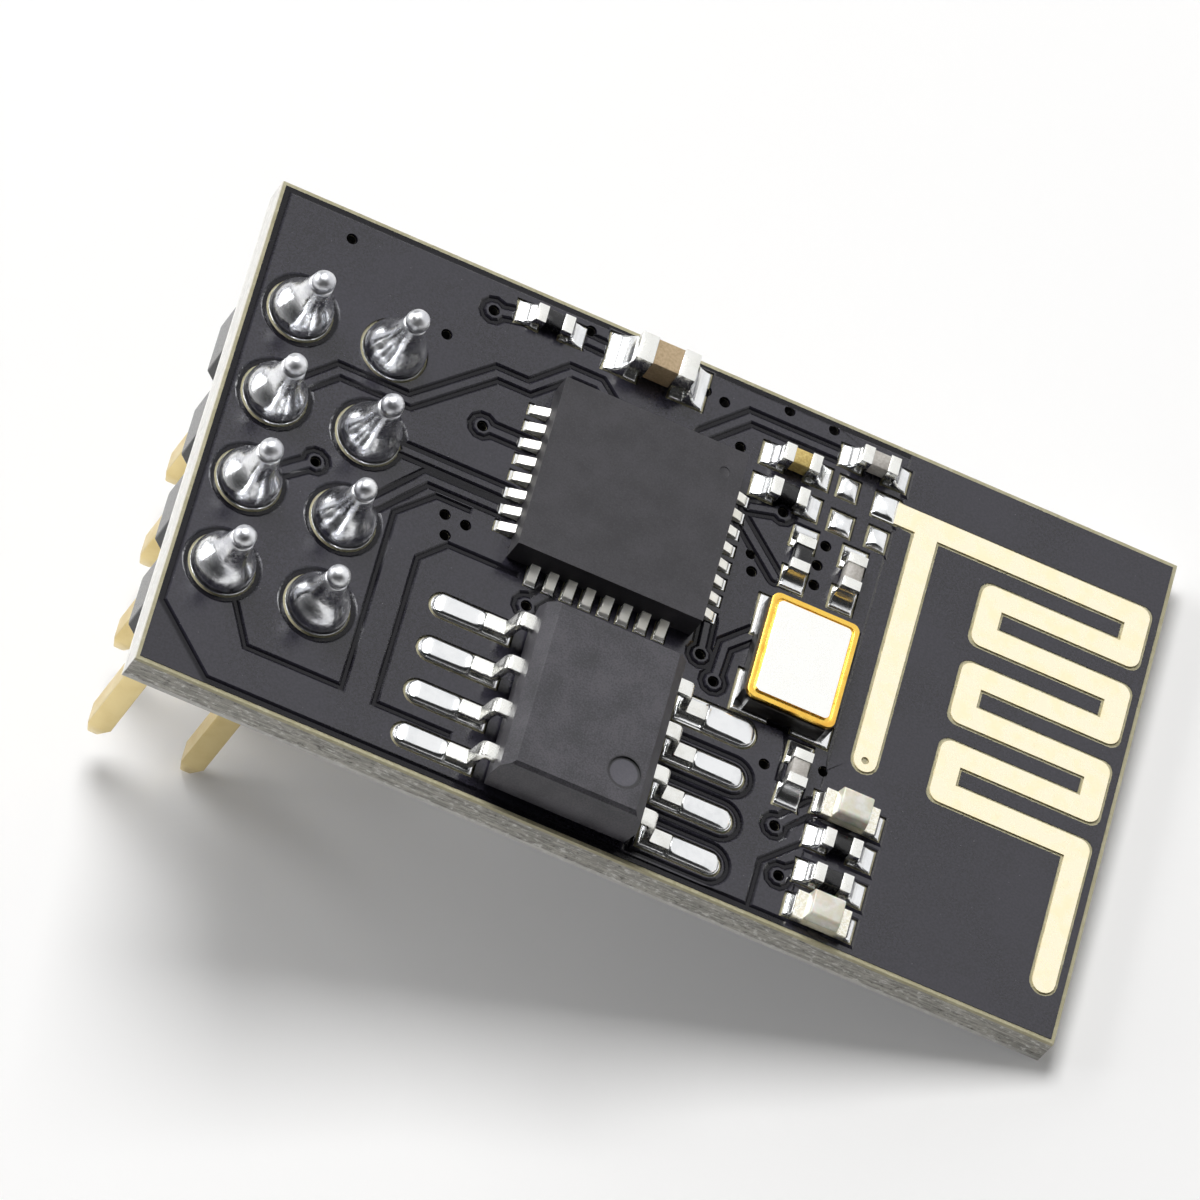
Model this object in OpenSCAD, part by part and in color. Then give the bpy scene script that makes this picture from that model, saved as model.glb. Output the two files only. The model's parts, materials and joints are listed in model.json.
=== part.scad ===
// A small radio module on a two-layer board: a 2 x 4 pin header, a radio chip, a flash chip,
// a crystal, chip capacitors and resistors, two lamps and a printed antenna.
// Every piece is drawn on the board's own axes: x from the header end, y from the centre line,
// z up from the underside of the laminate. at_rest() then sets the module down as it lies
// loose on a table, leaning on the tips of its inner pins and on its antenna end.

/* [Board] */
// Length of the board, header end to antenna end
board_l = 24.7; // [24.5:0.1:27]
// Width of the board
board_w = 14.3; // [14.2:0.1:17]
// Thickness of the laminate
board_t = 1.0; // [0.6:0.1:1.6]
// Bare rim left round the solder mask
mask_rim = 0.1; // [0.05:0.01:0.15]
// Distance from the board's edges to the copper pour
pour_inset = 0.27; // [0.22:0.01:0.3]
// Thickness of the copper with its plating
copper_t = 0.05; // [0.03:0.01:0.08]
// Thickness of the solder mask
mask_t = 0.02; // [0.01:0.01:0.03]
// Width of a signal track
track_w = 0.22; // [0.16:0.01:0.28]
// Width of the bare gap beside a track
track_gap = 0.15; // [0.12:0.01:0.18]
// Diameter of a via hole
via_d = 0.26; // [0.2:0.01:0.3]

/* [Pin header] */
// Distance between neighbouring pins
pin_pitch = 2.54; // [2.5:0.01:2.6]
// Side of a square pin
pin_side = 0.64; // [0.5:0.01:0.68]
// Reach of the pins below the board
pin_reach = 8.5; // [5:0.1:11]
// Height of the soldered tails above the board
pin_tail = 2.0; // [1.3:0.1:2.6]
// Length of the taper at a pin's tip
tip_taper = 0.7; // [0.3:0.05:1]
// Distance from the header end to the outer row of pins
header_x = 1.36; // [1.32:0.01:1.5]
// Height of the plastic insulator
insulator_h = 2.1; // [1.8:0.1:3]
// Width of one cell of the insulator
cell_w = 2.36; // [2.1:0.02:2.5]
// Corner cut of each cell of the insulator
cell_cut = 0.5; // [0.2:0.05:0.7]
// Diameter of the holes for the pins
pin_hole_d = 1.0; // [0.98:0.01:1.1]
// Diameter of the plated land round a pin
pin_land_d = 1.65; // [1.5:0.01:1.75]
// Radius of the rounded nub on a soldered tail
tail_nub_r = 0.31; // [0.28:0.01:0.34]

/* [Radio chip] */
// Side of the square package
radio_side = 5.0; // [4.8:0.1:5.2]
// Height of the package
radio_h = 0.85; // [0.7:0.05:1.0]
// Distance between neighbouring terminals
radio_pitch = 0.5; // [0.45:0.01:0.52]
// Width of a terminal
radio_lead_w = 0.25; // [0.18:0.01:0.3]

/* [Flash chip] */
// Width of the package across its leads
flash_w = 3.9; // [3.6:0.1:4.1]
// Length of the package along its leads
flash_l = 4.9; // [4.7:0.1:5.1]
// Height of the package above its seat
flash_h = 1.6; // [1.3:0.05:1.75]
// Distance between neighbouring leads
flash_pitch = 1.27; // [1.2:0.01:1.3]
// Span over the feet of the leads
flash_span = 6.0; // [5.8:0.1:6.2]
// Width of a lead
flash_lead_w = 0.42; // [0.35:0.01:0.5]
// Thickness of a lead
flash_lead_t = 0.2; // [0.15:0.01:0.25]
// Length of the long solder pads of the flash chip
flash_pad_l = 2.15; // [1.9:0.05:2.2]

/* [Crystal] */
// Length of the crystal package
crystal_l = 3.2; // [3:0.1:3.4]
// Width of the crystal package
crystal_w = 2.5; // [2.3:0.1:2.6]
// Height of the ceramic base
crystal_base_h = 0.5; // [0.4:0.05:0.6]
// Height of the gold rim on the base
crystal_rim_h = 0.14; // [0.1:0.01:0.2]
// Width of the gold rim left showing round the lid
crystal_rim_w = 0.2; // [0.12:0.01:0.28]
// Thickness of the lid
crystal_lid_t = 0.08; // [0.05:0.01:0.1]

/* [Small parts] */
// Length of a small chip part
chip_l = 1.0; // [0.9:0.05:1.1]
// Width of a small chip part
chip_w = 0.5; // [0.45:0.01:0.52]
// Height of a small capacitor
chip_cap_h = 0.5; // [0.4:0.05:0.6]
// Height of a resistor
chip_res_h = 0.35; // [0.3:0.05:0.45]
// Length of the large capacitor
bulk_l = 1.6; // [1.5:0.05:1.7]
// Width of the large capacitor
bulk_w = 0.8; // [0.7:0.05:0.85]
// Height of the large capacitor
bulk_h = 0.85; // [0.6:0.05:1]
// Thickness of a plated end cap
end_cap_t = 0.03; // [0.02:0.01:0.05]
// Share of a part's length that each end cap covers
end_cap_share = 0.28; // [0.2:0.01:0.32]
// Height of the base of a lamp
lamp_base_h = 0.25; // [0.2:0.05:0.35]
// Height of the lens of a lamp
lamp_lens_h = 0.4; // [0.3:0.05:0.5]

/* [Antenna] */
// Width of the antenna track
aerial_w = 0.62; // [0.5:0.01:0.66]
// Distance between neighbouring rows of the meander
aerial_pitch = 1.165; // [1.1:0.005:1.18]
// Distance from the long upright to the meander, between their middles
aerial_clear = 2.08; // [1.8:0.01:2.4]
// Distance from the antenna end to the middle of the nearest upright
aerial_edge = 0.66; // [0.6:0.01:0.8]
// Radius of the outer corners of the meander
aerial_corner_r = 0.3; // [0.1:0.01:0.32]

/* [Hidden] */
module_pins = 8;

$fn = 48;
cut = 0.5;                                   // how far a cutting shape runs past the face it cuts
seat_gap = 0.01;                             // clearance between a part's underside and the mask
mask_gap = 0.05;                             // clearance between a pad and the mask round it
solder_t = mask_t + seat_gap;                // solder film between a pad and the part on it
mask_top = board_t + mask_t + copper_t;      // top of the mask where copper lies under it
pad_top = board_t + copper_t;                // top of the bare pads and of the antenna
seat_z = pad_top + solder_t;                 // where soldered parts stand

far_y = board_w / 2;
near_y = -far_y;

// Header: columns along x, rows along y
pin_rows = 4;
pin_x = [header_x, header_x + pin_pitch];
function pin_y(row) = (row - (pin_rows - 1) / 2) * pin_pitch;
function pin_place(i) = [pin_x[i % 2], pin_y(floor(i / 2))];
tip_half = pin_side * 0.22;
pin_cover = 0.5;                             // solder above the upper end of a pin
pin_top = board_t + pin_tail - pin_cover;
pin_top_half = 0.13;
pin_top_taper = 1.0;
land_ring = 0.03;                            // copper round a land that the mask still covers

// The lean of the resting module, from its inner pin tips and its antenna end
rest_run = board_l - pin_x[1] - tip_half;
lean = atan2(pin_reach, rest_run);
rest_min_x = min(
    (header_x - tip_half - board_l) * cos(lean) - pin_reach * sin(lean),
    (header_x - pin_side / 2 - board_l) * cos(lean) - (pin_reach - tip_taper) * sin(lean)
);
rest_max_x = board_t * sin(lean);
rest_shift = -(rest_min_x + rest_max_x) / 2;

// Places of the chips and the crystal
radio_at = [10.57, 2.05];
flash_at = [10.97, -4.35];
crystal_at = [15.85, -0.2];
radio_per_side = 8;
flash_per_side = 4;

// Small parts: place, turn, and whether it is the large size
CAPACITORS = [
    [[10.42, far_y - 0.85], 0, true],
    [[14.5, 5.35], 0, false],
    [[16.45, far_y - 0.95], 0, false],
    [[16.55, 2.85], 90, false],
    [[16.54, -3.0], 90, false]
];
RESISTORS = [
    [[7.5, far_y - 0.82], 0, false],
    [[14.45, 4.38], 0, false],
    [[15.2, 2.85], 90, false],
    [[18.12, near_y + 2.73], 0, false],
    [[18.12, near_y + 1.7], 0, false]
];
LAMPS = [[[18.12, near_y + 3.7], 0, false], [[18.1, near_y + 0.69], 0, false]];
SPARE_PADS = [[[15.95, 5.33], [0.5, 0.58]], [[16.0, 4.3], [0.58, 0.58]], [[17.0, 4.3], [0.5, 0.58]]];
aerial_pad_at = [17.0, 5.26];
aerial_pad_l = 0.6;

// Antenna
aerial_rows = 7;
aerial_top_y = aerial_pad_at.y;
aerial_right = board_l - aerial_edge;
aerial_start = aerial_pad_at.x + aerial_pad_l / 2;
aerial_end_y = near_y + 1.52;
stub_x = 18.2;
aerial_left = stub_x + aerial_clear;
stub_end_y = -1.78;
stub_via_d = 0.2;
aerial_gap = 0.07;

// Copper: the pour's outline, tracks as [points, start land radius, end land radius], lone lands
// and plain splits in the pour
pour_end = 17.3;
track_half = track_w / 2;
via_land = 0.25;
pin_land = pin_land_d / 2 + land_ring;
TRACKS = [
    [[pin_place(4), [2.73, 2.64], [4.65, 2.64], [6.55, 4.38], [7.45, 4.38],
      [8.35, 5.27], [9.1, 5.27], [9.45, 4.95]], pin_land, track_half],
    [[pin_place(5), [7.75, 1.27]], pin_land, track_half],
    [[pin_place(3), [5.6, 0.78], [7.75, 0.78]], pin_land, track_half],
    [[pin_place(2), [2.83, -0.05]], pin_land, via_land],
    [[[6.02, far_y - 1.1], [6.9, far_y - 0.9]], via_land, track_half],
    [[[8.15, far_y - 0.8], [9.4, far_y - 0.85]], track_half, track_half],
    [[[12.0, 5.1], [13.05, far_y - 1], [15.7, far_y - 1]], track_half, track_half],
    [[[6.57, 2.8], [7.8, 2.8]], via_land, track_half],
    [[[8.9, -1.5], [9.3, -0.95]], via_land, track_half],
    [[[13.45, -0.82], [13.4, 0.2]], via_land, track_half],
    [[[13.95, -1.4], [14.0, -0.3], [14.8, 0.5]], via_land, track_half],
    [[[13.5, 3.3], [14.75, 2.1]], track_half, track_half],
    [[[14.5, 3.95], [13.6, 3.7]], via_land, track_half],
    [[[16.42, near_y + 2.62], [17.2, near_y + 3.53], [17.5, near_y + 3.7]], via_land, track_half],
    [[[16.85, near_y + 1.35], [17.3, near_y + 1.7]], via_land, track_half]
];
LONE_LANDS = [[pin_place(0), pin_land], [pin_place(1), pin_land], [pin_place(6), pin_land]];
SPLITS = [
    [[1.9, -4.55], [2.5, -5.7], [5.07, -5.7], [5.07, -0.5], [5.97, 0.4], [6.9, 0.4]],
    [[8.0, -5.75], [5.95, -5.75], [5.95, -1.45], [6.6, -0.77], [8.5, -0.77]],
    [[16.3, near_y + 0.15], [16.3, near_y + 1.55], [17.35, near_y + 2.6]],
    [[14.9, -1.85], [16.05, -1.85], [16.2, -2.3], [16.2, -3.3]]
];
VIAS = [
    [2.07, far_y - 0.82], [5.05, 4.85], [6.02, far_y - 1.1], [8.53, far_y - 0.52],
    [11.77, far_y - 0.8], [12.3, far_y - 0.9], [13.97, far_y - 0.37], [15.2, far_y - 0.37], [13.0, 5.22], [6.57, 2.8], [2.83, -0.05], [6.3, 0],
    [6.87, -0.05], [6.45, -0.55], [8.9, -1.5], [13.45, -0.82], [13.95, -1.4], [14.0, 2.45],
    [14.13, 1.98], [14.5, 3.95], [15.78, 3.52], [15.7, 2.9], [15.75, 2.33], [17.25, -2.55],
    [15.75, -3.02], [16.42, near_y + 2.62], [16.85, near_y + 1.35]
];

// ---- plane geometry ----

function unit(a, b) = (b - a) / norm(b - a);
function left_of(d) = [-d.y, d.x];
function turned(v, a) = [v.x * cos(a) - v.y * sin(a), v.x * sin(a) + v.y * cos(a)];
function heading(d) = atan2(d.y, d.x);
function backwards(list) = [for (i = [len(list) - 1:-1:0]) list[i]];
function joined(lists) = [for (l = lists) for (p = l) p];
function arc_steps(r) = r > 0.5 ? 20 : 8;

// One side of a bent band at its corner i, with the outer side rounded to radius r
function band_corner(path, i, h, r) =
    let (
        d1 = unit(path[i - 1], path[i]),
        d2 = unit(path[i], path[i + 1]),
        n1 = left_of(d1),
        n2 = left_of(d2),
        tip = path[i] + h * (n1 + n2) / (1 + n1 * n2),
        swing = atan2(d1.x * d2.y - d1.y * d2.x, d1 * d2),
        side = h > 0 ? 1 : -1,
        back = r * tan(abs(swing) / 2),
        centre = tip - d1 * back - side * r * n1,
        steps = 6
    )
    r > 0 && side * swing < 0
        ? [for (k = [0:steps]) centre + turned(side * r * n1, swing * k / steps)]
        : [tip];

function band_side(path, h, r) =
    len(path) > 2 ? joined([for (i = [1:len(path) - 2]) band_corner(path, i, h, r)]) : [];

// The round end of a band: a land of radius r, or a plain half round where r is half the width
function band_end(p, d, h, r) =
    let (a = 180 - asin(min(1, h / r)), steps = arc_steps(r))
    [for (k = [0:steps]) p + r * [cos(heading(d) + a - 2 * a * k / steps),
                                  sin(heading(d) + a - 2 * a * k / steps)]];

function band(path, h, r_start, r_end, corner_r = 0) =
    let (n = len(path))
    concat(
        band_side(path, h, corner_r),
        band_end(path[n - 1], unit(path[n - 2], path[n - 1]), h, max(h, r_end)),
        backwards(band_side(path, -h, corner_r)),
        band_end(path[0], unit(path[1], path[0]), h, max(h, r_start))
    );

// A band with square ends
function strip(path, h) =
    let (n = len(path), d0 = unit(path[0], path[1]), d1 = unit(path[n - 2], path[n - 1]))
    concat(
        [path[0] + h * left_of(d0)],
        band_side(path, h, 0),
        [path[n - 1] + h * left_of(d1), path[n - 1] - h * left_of(d1)],
        backwards(band_side(path, -h, 0)),
        [path[0] - h * left_of(d0)]
    );

module block_at(at, size) translate([at.x - size.x / 2, at.y - size.y / 2]) square(size);

// ---- placing ----

module at_rest() translate([rest_shift, 0, 0]) rotate([0, lean, 0]) translate([-board_l, 0, 0]) children();

module on_board(at, turn = 0) translate([at.x, at.y, 0]) rotate([0, 0, turn]) children();

// A solid that is outline_x seen along y and outline_y seen along x
module crossed(outline_x, outline_y, reach) intersection() {
    rotate([90, 0, 0]) linear_extrude(2 * reach, center = true) polygon(outline_x);
    rotate([90, 0, 90]) linear_extrude(2 * reach, center = true) polygon(outline_y);
}

// ---- pads ----

radio_half = radio_side / 2;
radio_pad_out = 0.5;                         // how far a pad runs out past the package
radio_pad_in = 0.35;                         // how far it runs in under the package
thermal_pad = 3.2;
function radio_offset(k) = (k - (radio_per_side - 1) / 2) * radio_pitch;

flash_pad_w = 0.62;
flash_wide_pad_w = 0.8;
flash_ring_pads = [0:2];                     // pads on the first side with a groove round them
flash_foot = 0.62;
flash_pad_out = flash_pad_l - flash_foot - 0.15;
function flash_offset(k) = (k - (flash_per_side - 1) / 2) * flash_pitch;
function flash_pad_half(side, k) =
    (side == 0 && k == flash_per_side - 1 ? flash_wide_pad_w : flash_pad_w) / 2;

// A long pad with a round outer end, grown by the margin given
function flash_pad(side, k, grow = 0) =
    let (end = flash_span / 2 + flash_pad_out, half = flash_pad_half(side, k), r = half + grow)
    concat([[end - flash_pad_l - grow, -r], [end - flash_pad_l - grow, r]],
           [for (a = [90:-15:-90]) [end - half + r * cos(a), r * sin(a)]]);

crystal_pad = [1.0, 1.15];
crystal_pad_in = [0.85, 0.95];               // how far the pads' middles lie in from the package's sides
crystal_pad_pitch = [crystal_w, crystal_l] - crystal_pad_in;

function part_l(p) = p[2] ? bulk_l : chip_l;
function part_w(p) = p[2] ? bulk_w : chip_w;
bulk_pad = [0.9, bulk_w + 0.3];
chip_pad = [0.62, chip_w + 0.12];
pad_shift = 0.11;                            // from a part's end to the middle of its pad
function part_pad(p) = p[2] ? bulk_pad : chip_pad;
function part_pad_x(p) = part_l(p) / 2 + pad_shift;
SMALL_PARTS = concat(CAPACITORS, RESISTORS, LAMPS);

module pads_2d(grow = 0) {
    edge = 2 * grow * [1, 1];
    on_board(radio_at) block_at([0, 0], thermal_pad * [1, 1] + edge);
    for (side = [0:3], k = [0:radio_per_side - 1])
        on_board(radio_at, 90 * side)
            block_at([radio_half + (radio_pad_out - radio_pad_in) / 2, radio_offset(k)],
                     [radio_pad_out + radio_pad_in, radio_lead_w + 0.04] + edge / 2);
    for (side = [0, 1], k = [0:flash_per_side - 1])
        on_board(flash_at, 180 * side) translate([0, flash_offset(k)]) polygon(flash_pad(side, k, grow));
    for (sx = [-1, 1], sy = [-1, 1])
        on_board(crystal_at)
            block_at([sx * crystal_pad_pitch.x / 2, sy * crystal_pad_pitch.y / 2], crystal_pad + edge);
    for (p = SMALL_PARTS, s = [-1, 1])
        on_board(p[0], p[1]) block_at([s * part_pad_x(p), 0], part_pad(p) + edge);
    for (p = SPARE_PADS) on_board(p[0]) block_at([0, 0], p[1] + edge);
    on_board(aerial_pad_at) block_at([0, 0], [aerial_pad_l, aerial_w + 0.06] + edge);
}

module pin_lands_2d(d) {
    for (i = [0:module_pins - 1]) on_board(pin_place(i)) circle(d = d);
}

module via_holes_2d() {
    for (v = VIAS) on_board(v) circle(d = via_d, $fn = 24);
}

function aerial_path() = concat(
    [[aerial_start, aerial_top_y], [aerial_right, aerial_top_y]],
    joined([for (k = [1:aerial_rows - 1])
        let (y = aerial_top_y - k * aerial_pitch, odd = k % 2 == 1)
        odd ? [[aerial_right, y], [aerial_left, y]] : [[aerial_left, y], [aerial_right, y]]]),
    [[aerial_right, aerial_end_y]]
);

// The antenna, or with grow the opening that the mask leaves round it
module aerial_2d(grow = 0) {
    half = aerial_w / 2 + grow;
    path = aerial_path();
    n = len(path);
    d = unit(path[n - 2], path[n - 1]);
    polygon(concat(
        [path[0] - [grow, -half]],
        band_side(path, half, aerial_corner_r),
        band_end(path[n - 1], d, half, half),
        backwards(band_side(path, -half, aerial_corner_r)),
        [path[0] - [grow, half]]
    ));
    polygon(band([[stub_x, aerial_top_y], [stub_x, stub_end_y]], half, half, half));
}

// ---- board ----

module sheet_2d(inset) translate([inset, inset - board_w / 2])
    square([board_l - 2 * inset, board_w - 2 * inset]);

pour_top = board_w / 2 - pour_inset;
pour_corner = 1.55;

pad_margin = 0.1;                            // copper round a pad that the mask still covers
ring_margin = 0.14;                          // copper inside the groove round a flash pad

// Where no copper lies under the top mask: outside the pour, and round every track and land
module bare_2d() {
    difference() {
        sheet_2d(0);
        polygon([[pour_inset, pour_corner - pour_top], [pour_inset + pour_corner, -pour_top],
                 [pour_end, -pour_top], [pour_end, pour_top], [pour_inset, pour_top]]);
        pads_2d(pad_margin);
    }
    for (k = flash_ring_pads) on_board(flash_at + [0, flash_offset(k)]) difference() {
        polygon(flash_pad(0, k, ring_margin + track_gap));
        polygon(flash_pad(0, k, ring_margin));
    }
    for (t = TRACKS) difference() {
        polygon(band(t[0], track_half + track_gap, t[1] + track_gap, t[2] + track_gap));
        polygon(band(t[0], track_half, t[1], t[2]));
    }
    for (l = LONE_LANDS) on_board(l[0]) difference() {
        circle(r = l[1] + track_gap);
        circle(r = l[1]);
    }
    for (s = SPLITS) polygon(strip(s, track_gap / 2));
}

module top_openings_2d() {
    pads_2d(mask_gap);
    pin_lands_2d(pin_land_d + 2 * mask_gap);
    via_holes_2d();
    aerial_2d(aerial_gap);
}

module circuit_board() at_rest() color("#c9c3a4")
    linear_extrude(board_t) difference() {
        sheet_2d(0);
        pin_lands_2d(pin_hole_d);
        via_holes_2d();
    }

// The mask over the copper, cut back to a bare film where there is none
module solder_mask_top() at_rest() color("#33323a") translate([0, 0, board_t])
    difference() {
        difference() {
            linear_extrude(mask_t + copper_t) sheet_2d(mask_rim);
            translate([0, 0, mask_t]) linear_extrude(cut) bare_2d();
        }
        translate([0, 0, -cut]) linear_extrude(2 * cut) top_openings_2d();
    }

module solder_mask_bottom() at_rest() color("#2b2a31") translate([0, 0, -mask_t])
    linear_extrude(mask_t) difference() {
        sheet_2d(mask_rim);
        pin_lands_2d(pin_land_d);
        via_holes_2d();
    }

module antenna_track() at_rest() color("#e6d9a8") translate([0, 0, board_t])
    linear_extrude(copper_t) difference() {
        aerial_2d();
        on_board([stub_x, stub_end_y]) circle(d = stub_via_d, $fn = 24);
    }

module solder_pads() at_rest() color("#d8d8d4") translate([0, 0, board_t])
    linear_extrude(copper_t) {
        pads_2d();
        difference() {
            pin_lands_2d(pin_land_d);
            pin_lands_2d(pin_hole_d);
        }
    }

// ---- pin header ----

module header_insulator() at_rest() color("#1c1c1e") translate([0, 0, -mask_t - insulator_h])
    linear_extrude(insulator_h) difference() {
        half = cell_w / 2;
        near = half - cell_cut;
        run = pin_pitch + 2 * near;
        union() {
            for (i = [0:module_pins - 1]) on_board(pin_place(i))
                polygon([[half, near], [near, half], [-near, half], [-half, near],
                         [-half, -near], [-near, -half], [near, -half], [half, -near]]);
            on_board([header_x + pin_pitch / 2, 0])
                block_at([0, 0], [run, run + (pin_rows - 2) * pin_pitch]);
        }
        for (i = [0:module_pins - 1]) on_board(pin_place(i)) block_at([0, 0], pin_side * [1, 1]);
    }

function pin_outline() =
    let (h = pin_side / 2)
    [[-pin_top_half, pin_top], [pin_top_half, pin_top], [h, pin_top - pin_top_taper],
     [h, tip_taper - pin_reach], [tip_half, -pin_reach], [-tip_half, -pin_reach],
     [-h, tip_taper - pin_reach], [-h, pin_top - pin_top_taper]];

module header_pin(i) at_rest() color("#d6c078") on_board(pin_place(i))
    crossed(pin_outline(), pin_outline(), pin_side);

// The slope of the solder round a tail, as shares of its reach outward and of its height
TAIL_SLOPE = [[1, 0], [0.97, 0.08], [0.89, 0.16], [0.75, 0.24], [0.56, 0.32], [0.36, 0.41],
              [0.2, 0.52], [0.08, 0.63], [0, 0.74]];
tail_neck_share = 0.92;                      // radius of the neck below the nub, as a share of the nub's

// Section of the solder: the fill of the hole, a swelling foot on the land, a neck and a nub
function solder_section() =
    let (neck = tail_neck_share * tail_nub_r, reach = pin_land_d / 2 - neck, top = board_t + pin_tail)
    concat([[0, 0], [pin_hole_d / 2, 0], [pin_hole_d / 2, pad_top]],
           [for (s = TAIL_SLOPE) [neck + s[0] * reach, pad_top + s[1] * (top - pad_top)]],
           [for (a = [-20:20:80]) [tail_nub_r * cos(a), top - tail_nub_r * (1 - sin(a))]],
           [[0, top]]);

module pin_solder(i) at_rest() color("#c6c8cc") on_board(pin_place(i))
    difference() {
        rotate_extrude() polygon(solder_section());
        crossed(pin_outline(), pin_outline(), pin_side);
    }

// ---- radio chip ----

radio_lead_l = 0.4;
radio_lead_h = 0.2;
radio_dot_at = [2.0, 1.75];
radio_dot_r = 0.14;
radio_dot_depth = 0.02;

module radio_terminals_shape() {
    for (side = [0:3], k = [0:radio_per_side - 1])
        rotate([0, 0, 90 * side])
            translate([radio_half - radio_lead_l, radio_offset(k) - radio_lead_w / 2, seat_z])
                cube([radio_lead_l, radio_lead_w, radio_lead_h]);
}

module radio_chip_body() at_rest() color("#3a393f") on_board(radio_at)
    difference() {
        translate([-radio_half, -radio_half, seat_z]) cube([radio_side, radio_side, radio_h]);
        radio_terminals_shape();
        translate([radio_dot_at.x, radio_dot_at.y, seat_z + radio_h - radio_dot_depth])
            cylinder(r = radio_dot_r, h = radio_dot_depth + cut);
    }

module radio_chip_terminals() at_rest() color("#cfcfcb") on_board(radio_at) radio_terminals_shape();

// Solder beside each terminal, with a hollow slope down to the pad's end, and under the middle
module radio_chip_solder() at_rest() color("#d4d5d6") on_board(radio_at) {
    foot = radio_pad_out - 0.03;
    for (side = [0:3], k = [0:radio_per_side - 1])
        rotate([0, 0, 90 * side]) translate([radio_half, radio_offset(k), pad_top])
            rotate([90, 0, 0]) linear_extrude(radio_lead_w, center = true)
                polygon([[-radio_pad_in, 0], [foot, 0], [foot - 0.06, 0.07], [0.24, 0.13],
                         [0.08, solder_t + 0.16], [0, solder_t + radio_lead_h],
                         [0, solder_t], [-radio_pad_in, solder_t]]);
    translate([-thermal_pad / 2, -thermal_pad / 2, pad_top]) cube([thermal_pad, thermal_pad, solder_t]);
}

// ---- flash chip ----

flash_stand = 0.12;                          // clearance under the package
flash_seam = flash_stand + (flash_h - flash_stand) * 0.48;
flash_draft = 0.07;
flash_bevel = 0.28;
flash_bevel_h = 0.35;
flash_dot_at = [1.06, -1.42];
flash_dot_r = 0.42;
flash_dot_depth = 0.06;
flash_lead_bury = 0.3;

function flash_outline(half, bevel) = [
    [-half + flash_draft, flash_stand], [half - flash_draft, flash_stand],
    [half, flash_seam], [half - flash_draft, flash_h - bevel * flash_bevel_h],
    [half - flash_draft - bevel * flash_bevel, flash_h],
    [-half + flash_draft + bevel * flash_bevel, flash_h],
    [-half + flash_draft, flash_h - bevel * flash_bevel_h], [-half, flash_seam]
];

// A bent lead: out of the package at its seam, down, and flat along the pad
function flash_lead_path() =
    let (x0 = flash_w / 2, x1 = flash_span / 2, z = flash_lead_t / 2)
    [[x0 - flash_lead_bury, flash_seam], [x0 + 0.33, flash_seam],
     [x1 - flash_foot, z], [x1, z]];

function flash_lead_outline() =
    let (path = flash_lead_path(), h = flash_lead_t / 2, n = len(path))
    concat([path[0] + [0, h]], band_side(path, h, 0.2), [path[n - 1] + [0, h], path[n - 1] - [0, h]],
           backwards(band_side(path, -h, 0.2)), [path[0] - [0, h]]);

module flash_lead_shape(i) {
    side = i < flash_per_side ? 0 : 180;
    rotate([0, 0, side]) translate([0, flash_offset(i % flash_per_side), seat_z])
        rotate([90, 0, 0]) linear_extrude(flash_lead_w, center = true) polygon(flash_lead_outline());
}

module flash_lead(i) at_rest() color("#cfcfcb") on_board(flash_at) flash_lead_shape(i);

module flash_chip_body() at_rest() color("#3b3a40") on_board(flash_at)
    difference() {
        translate([0, 0, seat_z])
            crossed(flash_outline(flash_w / 2, 1), flash_outline(flash_l / 2, 0.3), flash_l);
        for (i = [0:2 * flash_per_side - 1]) flash_lead_shape(i);
        translate([flash_dot_at.x, flash_dot_at.y, seat_z + flash_h - flash_dot_depth])
            cylinder(r = flash_dot_r, h = flash_dot_depth + cut);
    }

// Solder on a long pad: a film under the foot and a low crowned tongue past its toe
tongue_h = 0.22;
tongue_edge_h = 0.05;
tongue_toe_h = 0.17;

module flash_tongue(side, k) {
    toe = flash_span / 2;
    end = toe + flash_pad_out;
    start = end - flash_pad_l;
    r = flash_pad_half(side, k);
    intersection() {
        rotate([90, 0, 0]) linear_extrude(2 * r, center = true)
            polygon([[start, 0], [end, 0], [end, 0.02], [end - 0.1, 0.09], [end - 0.3, 0.15],
                     [toe + 0.3, 0.16], [toe + 0.1, tongue_toe_h], [toe, solder_t + flash_lead_t],
                     [toe, solder_t], [start, solder_t]]);
        linear_extrude(1) polygon(flash_pad(side, k));
        rotate([90, 0, 90]) linear_extrude(end + 1)
            polygon([[-r, 0], [r, 0], [r, tongue_edge_h], [r * 0.8, 0.14], [r * 0.4, tongue_h],
                     [-r * 0.4, tongue_h], [-r * 0.8, 0.14], [-r, tongue_edge_h]]);
    }
}

module flash_chip_solder() at_rest() color("#d4d5d6") on_board(flash_at)
    for (side = [0, 1], k = [0:flash_per_side - 1])
        rotate([0, 0, 180 * side]) translate([0, flash_offset(k), pad_top]) flash_tongue(side, k);

// ---- crystal ----

crystal_notch_r = 0.22;
crystal_corner = 0.22;
crystal_inset = 0.06;
crystal_step = 0.05;
lid_inset = 0.06;                            // groove between the step of the rim and the lid

function cut_corners(size, c) =
    let (x = size.x / 2, y = size.y / 2)
    joined([for (q = [[1, 1], [-1, 1], [-1, -1], [1, -1]])
        [for (k = [0:15:90])
            let (t = heading(q) - 45 + k)
            [q.x * (x - c), q.y * (y - c)] + c * [cos(t), sin(t)]]]);

module crystal_base() at_rest() color("#1f1d1e") on_board(crystal_at) translate([0, 0, seat_z])
    linear_extrude(crystal_base_h) difference() {
        block_at([0, 0], [crystal_w, crystal_l]);
        for (sx = [-1, 1], sy = [-1, 1])
            translate([sx * crystal_w / 2, sy * crystal_l / 2]) circle(r = crystal_notch_r, $fn = 32);
    }

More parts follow.
